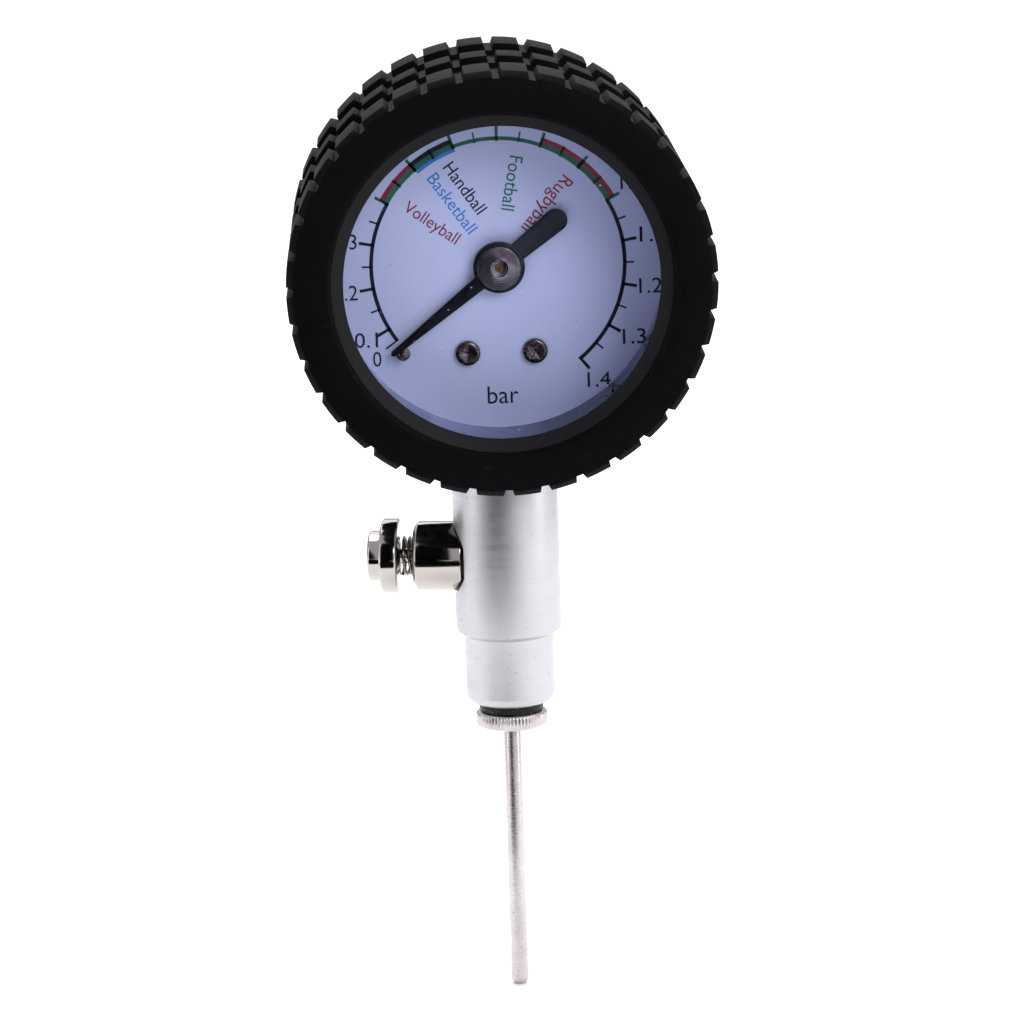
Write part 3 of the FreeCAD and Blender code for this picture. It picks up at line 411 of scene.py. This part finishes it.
def finishes(dial_z: float) -> dict[str, Finish]:
    """List the finish of each of the record's material slots.

    Args:
        dial_z: the height of the dial's axis, in metres.

    Returns:
        The finishes, by slot name.
    """
    return {
        # Moulded nitrile rubber: a dull black that goes grey where light skims it, with dust in its grain.
        "boot_rubber": MouldedFinish("moulded_boot_rubber", "#040406", 0.55, shine=0.05, cloud="#08080c",
                                     dust="#6d6b74", dust_above=0.76),
        # Stoved black enamel on pressed steel: deep gloss with a slight ripple, and painted light that makes it a
        # touch lighter towards the right.
        "case_enamel": EnamelFinish("stoved_black_enamel", "#0b0b0d", 0.25, coat=0.4, right_side_shading="#0e0e11",
                                    mote="#2c2c30"),
        # Moulded ABS with a spark-eroded texture: flat charcoal.
        "bezel_plastic": MouldedFinish("moulded_charcoal_abs", "#0a090c", 0.62, cloud="#0e0c11", dust="#4a474f",
                                       shine=0.2, grain_size=0.12, grain_depth=0.01, dust_above=0.80),
        # Clear polycarbonate: nearly unseen, with motes of dust.
        "crystal_clear": ClearFinish("clear_polycarbonate", "#c9ccdc", 0.03),
        # Nitrile seal rubber: black, with pale specks of talc.
        "seal_rubber": MouldedFinish("nitrile_seal_rubber", "#040404", 0.4, shine=0.2, cloud="#080808",
                                     dust="#9a9792", dust_size=0.2, dust_above=0.66),
        # White dial enamel: a cool white, with painted shade that darkens it towards the right of the plate.
        "dial_enamel": EnamelFinish("white_dial_enamel", "#d9dcea", 0.5, shine=0.3, right_side_shading="#c5c9dc"),
        # Plated screw steel: a warm, slightly tarnished grey.
        "screw_steel": MachinedFinish("plated_screw_steel", "#9a8c84", 0.28, 1.0, drift="#6b5d57",
                                      drift_size=0.8, mark_size=(0.3, 0.3, 0.1), pit_size=0.2),
        # Satin black lacquer: a soft sheen on the pointer.
        "pointer_black": MouldedFinish("satin_black_lacquer", "#08080a", 0.45, cloud="#0d0d10", dust="#55555c",
                                       grain_size=0.3, grain_depth=0.004, dust_above=0.74),
        # Turned nickel: a warm grey face with cut rings.
        "hub_nickel": FacedFinish("turned_hub_nickel", "#a39895", 0.3, 1.0, centre=(0.0, 0.0, dial_z)),
        # Milled brass: yellow with fine straight marks.
        "movement_brass": MachinedFinish("milled_brass", "#c9a35a", 0.3, 1.0, drift="#b08a48",
                                         mark_size=(0.12, 2.0, 2.0), pit_above=0.76, pit_colour="#6b5326"),
        # Rolled phosphor bronze: a redder sheet metal with long rolling marks.
        "spring_bronze": MachinedFinish("rolled_phosphor_bronze", "#b8834f", 0.34, 1.0, drift="#a06c40",
                                        mark_size=(2.0, 0.1, 2.0), pit_above=0.76, pit_colour="#5c3a1e"),
        # Drawn spring wire: bright grey steel with marks along the wire.
        "spring_steel": MachinedFinish("drawn_spring_wire", "#9c9a98", 0.22, 1.0, drift="#7d7a78",
                                       mark_size=(0.1, 0.6, 0.6), pit_size=0.15, pit_above=0.74),
        # Satin turned aluminium: near white, with rings of fine tool marks, pits and scuffs.
        "stem_aluminium": MachinedFinish("satin_turned_aluminium", "#cdcdd0", 0.42, 1.0, drift="#c0c0c4",
                                         mark_size=(9.0, 9.0, 0.16), mark_depth=0.006, pit_size=0.3,
                                         pit_above=0.73, pit_colour="#8f8f92"),
        # Bright nickel plate: a mirror with a warm cast and a few dull specks.
        "valve_nickel": MachinedFinish("bright_nickel_plate", "#c4beba", 0.10, 1.0, drift="#b6afaa",
                                       mark_size=(0.12, 3.0, 3.0), mark_depth=0.0015, pit_size=0.25,
                                       pit_above=0.76, pit_depth=0.004, roughness_spread=0.03),
        # Satin nickel plate: pinkish grey, with marks round the collar and the tube.
        "needle_nickel": MachinedFinish("satin_nickel_plate", "#d8d2d1", 0.28, 1.0, drift="#bdb5b3",
                                        drift_size=2.0, mark_size=(1.2, 1.2, 0.14), mark_depth=0.002, pit_size=0.25,
                                        pit_above=0.72, pit_colour="#6d6664"),
    }


# Modelling helpers


def deselect() -> None:
    """Leave nothing selected, in object mode."""
    if bpy.context.object is not None and bpy.context.object.mode != "OBJECT":
        bpy.ops.object.mode_set(mode="OBJECT")
    bpy.ops.object.select_all(action="DESELECT")


def choose(piece: bpy.types.Object) -> None:
    """Select one object and make it the active one.

    Args:
        piece: the object.
    """
    deselect()
    piece.select_set(True)
    bpy.context.view_layer.objects.active = piece


def joined(pieces: list[bpy.types.Object], name: str) -> bpy.types.Object:
    """Join meshes into one object.

    Args:
        pieces: the objects to join.
        name: the joined object's name.

    Returns:
        The joined object.
    """
    deselect()
    for piece in pieces:
        piece.select_set(True)
    bpy.context.view_layer.objects.active = pieces[0]
    if len(pieces) > 1:
        bpy.ops.object.join()
    piece = bpy.context.object
    piece.name = name
    piece.data.name = name
    return piece


def finish_modifier(piece: bpy.types.Object, kind: str, **settings: object) -> None:
    """Add a modifier, set it and apply it.

    Args:
        piece: the object.
        kind: the modifier's Blender type name.
        **settings: the modifier's own properties.
    """
    choose(piece)
    modifier = piece.modifiers.new(kind.lower(), kind)
    for key, value in settings.items():
        setattr(modifier, key, value)
    bpy.ops.object.modifier_apply(modifier=modifier.name)


@dataclass
class Piece:
    """What a new piece needs once its mesh is in place."""

    shape: bpy.types.Object
    body: Body
    slot: str
    material: bpy.types.Material
    stands_for: tuple[str, ...] = ()

    def fit(self) -> None:
        """Dress the piece and put it on its body."""
        self.shape.data.materials.clear()
        self.shape.data.materials.append(self.material)
        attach(self.shape, self.body.value)
        if self.stands_for:
            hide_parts(*self.stands_for)
        LOG.info("%s: %d faces on %s", self.shape.name, len(self.shape.data.polygons), self.body.value)


# Parts whose edges are eased


@dataclass
class EasedPart:
    """A part taken over from the frame, merged, with its sharp edges eased and its curved faces smooth."""

    node: str
    name: str
    body: Body
    edge_round: float
    edge_steps: int = 2
    sharp_from: float = 24.0
    flat_within: float = 0.6
    merge_within: float = 0.002
    smooth_below: float = 32.0

    def build(self) -> bpy.types.Object:
        """Copy the frame's mesh, merge it and ease its edges.

        Returns:
            The eased part.
        """
        deselect()
        shape = bpy.data.objects.new(self.name, frame["nodes"][self.node].data.copy())
        bpy.context.scene.collection.objects.link(shape)
        choose(shape)
        bpy.ops.object.mode_set(mode="EDIT")
        bpy.ops.mesh.select_all(action="SELECT")
        bpy.ops.mesh.remove_doubles(threshold=self.merge_within * MM)
        bpy.ops.mesh.dissolve_limited(angle_limit=math.radians(self.flat_within))
        bpy.ops.object.mode_set(mode="OBJECT")
        if self.edge_round:
            finish_modifier(shape, "BEVEL", width=self.edge_round * MM, segments=self.edge_steps,
                            limit_method="ANGLE", angle_limit=math.radians(self.sharp_from))
        choose(shape)
        bpy.ops.object.shade_smooth_by_angle(angle=math.radians(self.smooth_below))
        return shape

    def dress(self, shape: bpy.types.Object, materials: dict[str, bpy.types.Material]) -> None:
        """Give the part its slot's material and put it on its body.

        Args:
            shape: the part's mesh.
            materials: the materials, by slot.
        """
        slot = next(row["material_slot"] for row in frame["record"]["subparts"] if row["node"] == self.node)
        Piece(shape, self.body, slot, materials[slot], (self.node,)).fit()


@dataclass
class SpringPart(EasedPart):
    """A spring, dressed like the other parts and given a mesh of its own."""

    joint: str = ""

    def dress(self, shape: bpy.types.Object, materials: dict[str, bpy.types.Material]) -> None:
        """Dress the spring and give it a mesh of its own.

        Args:
            shape: the spring's mesh.
            materials: the materials, by slot.
        """
        super().dress(shape, materials)
        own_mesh(shape)


EASED_PARTS = (
    EasedPart("rubber_boot", "boot_tread", Body.GAUGE, 0.22, sharp_from=22.0),
    EasedPart("case_cup", "case_shell", Body.GAUGE, 0.15),
    EasedPart("bezel_ring", "bezel", Body.GAUGE, 0.10),
    EasedPart("valve_body", "stem", Body.GAUGE, 0.10),
    EasedPart("valve_housing", "valve_barrel", Body.GAUGE, 0.08),
    EasedPart("bleed_button", "button", Body.BUTTON, 0.08),
    SpringPart("bleed_spring", "button_spring", Body.GAUGE, 0.0, smooth_below=50.0,
               joint="bleed_press"),
    EasedPart("needle_washer", "washer", Body.WASHER, 0.10),
    EasedPart("needle_head", "knurled_collar", Body.NEEDLE, 0.04, edge_steps=1),
    EasedPart("needle_tube", "needle", Body.NEEDLE, 0.05),
    EasedPart("pointer_blade", "pointer_arm", Body.POINTER, 0.08),
    EasedPart("pointer_hub", "pointer_cap", Body.POINTER, 0.06),
    EasedPart("dial_screws", "dial_screw_heads", Body.GAUGE, 0.06),
    EasedPart("stop_pin", "pointer_stop", Body.GAUGE, 0.08),
)


# Printing on the dial


@dataclass(frozen=True)
class Band:
    """A printed band round the dial, from one angle to another."""

    ink: Ink
    start: float
    end: float
    inner: float
    outer: float


@dataclass(frozen=True)
class Word:
    """Printed lettering: where its baseline starts, which way it runs and how large it is."""

    ink: Ink
    text: str
    across: float
    up: float
    turn: float
    length: float
    height: float


@dataclass
class DialPrint:
    """The scale, its zones and its lettering, printed on the dial plate."""

    front: float
    dial_z: float
    film: float = 0.03
    sunk: float = 0.01
    turned: float = 1.0
    shift: tuple[float, float] = (-0.08, 0.10)
    step: float = 20.0
    first: float = -120.0
    zero: float = -126.4
    divisions: int = 13
    arc: tuple[float, float] = (16.32, 16.82)
    thick_green: tuple[float, float] = (16.42, 17.12)
    outer_band: tuple[float, float] = (17.12, 17.72)
    inner_band: tuple[float, float] = (15.96, 16.42)
    major_reach: float = 18.4
    minor_reach: float = 17.8
    major_width: float = 0.42
    minor_width: float = 0.24
    green_from: int = 3
    green_to: int = 9
    facet: float = 2.0
    thin_green_out: float = 0.14
    inner_overrun: float = 0.4
    number_height: float = 2.0
    digit_width: float = 1.12
    decimal_digits: float = 2.7
    unit: Word = Word(Ink.BLACK, "bar", -1.9, -18.5, 0.0, 4.05, 2.3)
    words: list[Word] = field(default_factory=lambda: [
        Word(Ink.RED, "Volleyball", -12.23, 7.67, -35.8, 8.25, 1.60),
        Word(Ink.BLUE, "Basketball", -8.97, 11.64, -55.3, 9.18, 1.64),
        Word(Ink.BLACK, "Handball", -6.84, 13.01, -55.7, 7.72, 1.68),
        Word(Ink.GREEN, "Football", 2.00, 14.39, -101.1, 7.22, 1.74),
        Word(Ink.RED, "Rugbyball", 8.89, 11.63, -130.5, 8.85, 1.74),
    ])

    def angle(self, division: float) -> float:
        """Find the dial angle of a division.

        Args:
            division: the division, counted from the first.

        Returns:
            Its angle.
        """
        return self.first + self.step * division

    def bands(self) -> list[Band]:
        """List the arcs and the ticks.

        Returns:
            Every printed band.
        """
        green_start = self.angle(self.green_from)
        green_end = self.angle(self.green_to)
        half, last = self.angle(self.green_from + 1), self.angle(self.green_to - 2)
        mid = self.angle(self.green_from + 2)
        found = [
            Band(Ink.BLACK, self.zero, green_start, *self.arc),
            Band(Ink.BLACK, green_end, self.angle(self.divisions), *self.arc),
            Band(Ink.GREEN, green_start, mid, *self.thick_green),
            Band(Ink.GREEN, mid, last, *(radius + self.thin_green_out for radius in self.arc)),
            Band(Ink.GREEN, last, green_end, *self.thick_green),
            Band(Ink.RED, green_start, half, *self.outer_band),
            Band(Ink.BLACK, half, mid, *self.outer_band),
            Band(Ink.RED, last, green_end, *self.outer_band),
            Band(Ink.BLUE, half, mid + self.inner_overrun, *self.inner_band),
        ]
        for half_division in range(2 * self.divisions + 1):
            division = half_division / 2
            major = half_division % 2 == 0
            green = self.green_from <= division <= self.green_to
            reach = self.major_reach if major else self.minor_reach
            width = self.major_width if major else self.minor_width
            found.append(self.tick(Ink.GREEN if green else Ink.BLACK, self.angle(division), width, reach))
        found.append(self.tick(Ink.BLACK, self.zero, self.minor_width, self.major_reach))
        return found

    def tick(self, ink: Ink, angle: float, width: float, reach: float) -> Band:
        """Make a tick as a short band centred on its angle.

        Args:
            ink: its ink.
            angle: its dial angle.
            width: its width at its outer end.
            reach: the radius of its outer end.

        Returns:
            The band.
        """
        half = math.degrees(width / 2 / reach)
        return Band(ink, angle - half, angle + half, self.arc[0], reach)

    def make_band(self, band: Band) -> bpy.types.Object:
        """Spin an edge into a band and give it the film's thickness.

        Args:
            band: the band.

        Returns:
            The band's mesh, turned about the origin.
        """
        start = math.radians(band.start + self.turned)
        sweep = math.radians(band.end - band.start)
        bpy.ops.mesh.primitive_plane_add(size=1.0)
        shape = bpy.context.object
        bpy.ops.object.mode_set(mode="EDIT")
        mesh = bmesh.from_edit_mesh(shape.data)
        verts = sorted(mesh.verts, key=lambda v: (v.co.y, v.co.x))
        bmesh.ops.delete(mesh, geom=verts[2:], context="VERTS")
        mesh.verts.ensure_lookup_table()
        for vert, radius in zip(mesh.verts, (band.inner, band.outer)):
            vert.co = Vector((radius * MM * math.sin(start), 0.0, radius * MM * math.cos(start)))
            vert.select_set(True)
        mesh.select_flush(True)
        bmesh.update_edit_mesh(shape.data)
        bpy.ops.mesh.select_all(action="SELECT")
        bpy.ops.mesh.spin(steps=max(1, math.ceil(math.degrees(sweep) / self.facet)), angle=sweep,
                          center=(0, 0, 0), axis=(0, -1, 0))
        bpy.ops.mesh.select_all(action="SELECT")
        bpy.ops.mesh.extrude_region_move(TRANSFORM_OT_translate={"value": (0, -(self.film + self.sunk) * MM, 0)})
        bpy.ops.mesh.select_all(action="SELECT")
        bpy.ops.mesh.normals_make_consistent(inside=False)
        bpy.ops.object.mode_set(mode="OBJECT")
        return shape

    def make_text(self, word: Word) -> bpy.types.Object:
        """Set a word, make it a mesh and bring it to its length and height.

        Args:
            word: the word, its baseline's start relative to the dial's centre.

        Returns:
            The word's mesh.
        """
        bpy.ops.object.text_add()
        text = bpy.context.object
        text.data.body = word.text
        text.data.extrude = 0.5
        text.data.resolution_u = 3
        bpy.ops.object.convert(target="MESH")
        shape = bpy.context.object
        corners = [v.co for v in shape.data.vertices]
        left, right = min(c.x for c in corners), max(c.x for c in corners)
        top = max(c.y for c in corners)
        grow = Matrix.Diagonal((word.length * MM / (right - left), word.height * MM / top,
                                (self.film + self.sunk) * MM, 1.0))
        stand = Matrix.Rotation(math.pi / 2, 4, "X")
        turn = Matrix.Rotation(-math.radians(word.turn), 4, "Y")
        move = Matrix.Translation((word.across * MM, -(self.film + self.sunk) / 2 * MM, word.up * MM))
        shape.data.transform(move @ turn @ stand @ grow @ Matrix.Translation((-left, 0, 0)))
        return shape

    def numbers(self) -> list[Word]:
        """List the numbers beside the scale and the unit below it.

        Returns:
            The numbers as words.
        """
        placed = [("0", -126.5, 20.15), ("0.1", -118.2, 19.9), ("0.2", -98.7, 20.2), ("0.3", -79.4, 20.2),
                  ("1.0", 59.8, 20.6), ("1.1", 80.6, 20.4), ("1.2", 100.0, 20.2), ("1.3", 120.1, 20.3),
                  ("1.4", 141.0, 20.3)]
        found = []
        for text, angle, radius in placed:
            length = self.digit_width * (1 if len(text) == 1 else self.decimal_digits)
            across = radius * math.sin(math.radians(angle)) - length / 2
            up = radius * math.cos(math.radians(angle)) - self.number_height / 2
            found.append(Word(Ink.BLACK, text, across, up, 0.0, length, self.number_height))
        found.append(self.unit)
        return found

    def build(self) -> dict[Ink, bpy.types.Object]:
        """Make every band and word, and join them by ink.

        Returns:
            One mesh for each ink, in place on the dial.
        """
        made: dict[Ink, list[bpy.types.Object]] = {ink: [] for ink in Ink}
        deselect()
        for band in self.bands():
            made[band.ink].append(self.make_band(band))
        for word in self.words + self.numbers():
            made[word.ink].append(self.make_text(word))
        placed = {}
        for ink, shapes in made.items():
            shape = joined(shapes, f"dial_print_{ink.name.lower()}")
            shape.data.transform(Matrix.Translation((self.shift[0] * MM, self.front + self.sunk * MM,
                                                     self.dial_z + self.shift[1] * MM)))
            placed[ink] = shape
        return placed

    def dress(self, shapes: dict[Ink, bpy.types.Object]) -> None:
        """Ink each mesh and put it on the gauge.

        Args:
            shapes: one mesh for each ink.
        """
        for ink, shape in shapes.items():
            # Pad-printed ink: a flat, dense colour with slightly uneven cover.
            film = PrintFinish(f"pad_printed_{ink.name.lower()}", ink.value, 0.5)
            Piece(shape, Body.GAUGE, "dial_enamel", film.build()).fit()


# Studio


@dataclass
class Studio:
    """The floor, the soft lights and the camera."""

    floor_z: float
    lens: float = 238.95
    sensor: float = 36.0
    azimuth: float = -1.82
    elevation: float = 12.8
    roll: float = -1.82
    distance: float = 0.900
    aim: tuple[float, float, float] = (0.00088, 0.0, 0.02888)
    clip_start: float = 0.01
    floor_size: float = 12.0
    sky: str = "#f2f3f8"
    sky_strength: float = 0.62

    def camera(self) -> None:
        """Add the camera where the object is seen from."""
        turn, rise, roll = (math.radians(a) for a in (self.azimuth, self.elevation, self.roll))
        ahead = Vector((-math.sin(turn) * math.cos(rise), math.cos(turn) * math.cos(rise), -math.sin(rise)))
        right = ahead.cross(Vector((0, 0, 1))).normalized()
        up = right.cross(ahead)
        right, up = right * math.cos(roll) + up * math.sin(roll), up * math.cos(roll) - right * math.sin(roll)
        data = bpy.data.cameras.new("camera")
        data.lens = self.lens
        data.sensor_width = self.sensor
        data.clip_start = self.clip_start
        camera = bpy.data.objects.new("camera", data)
        bpy.context.scene.collection.objects.link(camera)
        turned = Matrix((right, up, -ahead)).transposed().to_4x4()
        camera.matrix_world = Matrix.Translation(Vector(self.aim) - ahead * self.distance) @ turned
        bpy.context.scene.camera = camera

    def matt(self, name: str, shade: str) -> bpy.types.Material:
        """Make a plain matt material for the studio.

        Args:
            name: the material's name.
            shade: its colour, as sRGB hex.

        Returns:
            The new material.
        """
        material = bpy.data.materials.new(name)
        material.use_nodes = True
        shader = material.node_tree.nodes["Principled BSDF"]
        shader.inputs["Base Color"].default_value = linear(shade)
        shader.inputs["Roughness"].default_value = 1.0
        shader.inputs["Specular IOR Level"].default_value = 0.0
        return material

    def floor(self) -> None:
        """Lay a plain pale floor under the needle's tip."""
        deselect()
        bpy.ops.mesh.primitive_plane_add(size=self.floor_size, location=(0, 0, self.floor_z))
        floor = bpy.context.object
        floor.name = "floor"
        floor.data.materials.append(self.matt("pale_floor", "#ffffff"))

    def card(self, name: str, place: tuple[float, float, float], size: tuple[float, float],
             tilt: float, shade: str, turn: float = 0.0) -> None:
        """Stand a card that only polished surfaces pick up.

        Args:
            name: the card's name.
            place: its centre, in metres.
            size: its width and height, in metres.
            tilt: how far it is turned up from lying flat, in degrees.
            shade: its colour, as sRGB hex.
            turn: how far it is swung about the stem, in degrees.
        """
        deselect()
        bpy.ops.mesh.primitive_plane_add(size=1.0)
        card = bpy.context.object
        card.name = name
        card.data.transform(Matrix.Rotation(math.radians(turn), 4, "Z") @ Matrix.Translation(place)
                            @ Matrix.Rotation(math.radians(tilt), 4, "X")
                            @ Matrix.Diagonal((size[0], size[1], 1.0, 1.0)))
        card.data.materials.append(self.matt(name, shade))
        for ray in ("camera", "diffuse", "transmission", "volume_scatter", "shadow"):
            setattr(card, f"visible_{ray}", False)

    def light(self, name: str, place: tuple[float, float, float], size: tuple[float, float], power: float,
              aim: tuple[float, float, float] = (0, 0, 0.045)) -> None:
        """Hang a soft box.

        Args:
            name: the lamp's name.
            place: where it hangs, in metres.
            size: its width and height, in metres.
            power: its power, in watts.
            aim: the point it faces.
        """
        data = bpy.data.lights.new(name, "AREA")
        data.shape = "RECTANGLE"
        data.size, data.size_y = size
        data.energy = power
        lamp = bpy.data.objects.new(name, data)
        bpy.context.scene.collection.objects.link(lamp)
        lamp.location = place
        lamp.rotation_euler = (Vector(aim) - Vector(place)).to_track_quat("-Z", "Y").to_euler()

    def build(self) -> None:
        """Set up the whole studio."""
        scene = bpy.context.scene
        scene.view_settings.view_transform = "Standard"
        world = bpy.data.worlds.new("studio")
        scene.world = world
        world.use_nodes = True
        sky = world.node_tree.nodes["Background"]
        sky.inputs["Color"].default_value = linear(self.sky)
        sky.inputs["Strength"].default_value = self.sky_strength
        self.floor()
        self.card("dark_table_card", (0, -1.13, self.floor_z + 0.001), (0.5, 2.0), 0.0, "#060606", -21.0)
        self.card("dark_front_card", (0, -1.6, 0.9), (1.0, 2.2), 90.0, "#060606", -19.0)
        self.card("grey_table_card", (0, -1.23, self.floor_z + 0.0005), (0.16, 2.0), 0.0, "#807a7a", 4.0)
        self.light("top_box", (0.0, 0.25, 0.75), (0.7, 0.5), 5.0)
        self.light("left_box", (-0.75, -0.25, 0.25), (0.3, 0.7), 1.0)
        self.light("right_box", (0.75, -0.20, 0.25), (0.3, 0.7), 1.2)
        self.light("front_box", (0.50, -0.85, 0.62), (0.5, 0.5), 5.0, (0, 0, 0.06))
        self.light("background_box", (0.0, 1.2, 1.0), (2.0, 1.2), 7.0, (0, 0.5, -0.036))
        self.camera()


def dress_frame(materials: dict[str, bpy.types.Material], hidden: Iterable[str]) -> None:
    """Give every CAD node that shows the material of its slot.

    Args:
        materials: the materials, by slot.
        hidden: the nodes that a new piece stands for.
    """
    for row in frame["record"]["subparts"]:
        node = frame["nodes"][row["node"]]
        if row["node"] in hidden:
            continue
        node.data.materials.clear()
        node.data.materials.append(materials[row["material_slot"]])
        LOG.info("%s: %s", row["node"], row["material_slot"])


def main() -> None:
    """Build and dress every sub-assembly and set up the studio."""
    logging.basicConfig(level=logging.INFO, format="%(name)s: %(message)s")
    dial_low, dial_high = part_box("dial_plate")
    dial_z = (dial_low.z + dial_high.z) / 2
    materials = {slot: finish.build() for slot, finish in finishes(dial_z).items()}
    dress_frame(materials, [part.node for part in EASED_PARTS])
    for part in EASED_PARTS:
        part.dress(part.build(), materials)
    scale = DialPrint(front=dial_low.y, dial_z=dial_z)
    scale.dress(scale.build())
    Studio(floor_z=CAD_BOX[0].z).build()
    bpy.context.view_layer.update()


if __name__ == "__main__":
    main()
